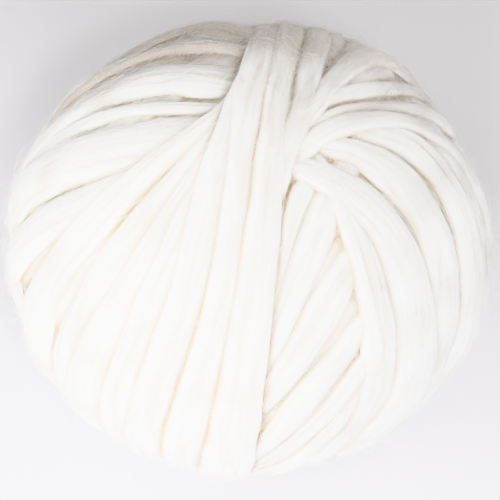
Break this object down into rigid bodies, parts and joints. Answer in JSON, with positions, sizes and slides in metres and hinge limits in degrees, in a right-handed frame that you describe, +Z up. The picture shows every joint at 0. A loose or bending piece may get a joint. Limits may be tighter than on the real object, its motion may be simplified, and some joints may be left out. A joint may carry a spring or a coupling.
{
  "type": "ball of wool roving",
  "caption": "Soft ball of thick unspun wool roving, wound by hand in broad overlapping strands, with a small flat spot to rest on.",
  "frame": {"origin": "middle of the flat spot under the ball, on the surface that it rests on", "axes": "+Z up, -Y towards the front that the picture shows, +X to the right seen from the front and along the ball's widest way"},
  "size_m": [0.25, 0.244, 0.212],
  "materials": {
    "wool": "undyed creamy-white combed wool, matt with a soft sheen along its fibres"
  },
  "bodies": {
    "root": {"roving_ball": "wool"}
  },
  "joints": []
}
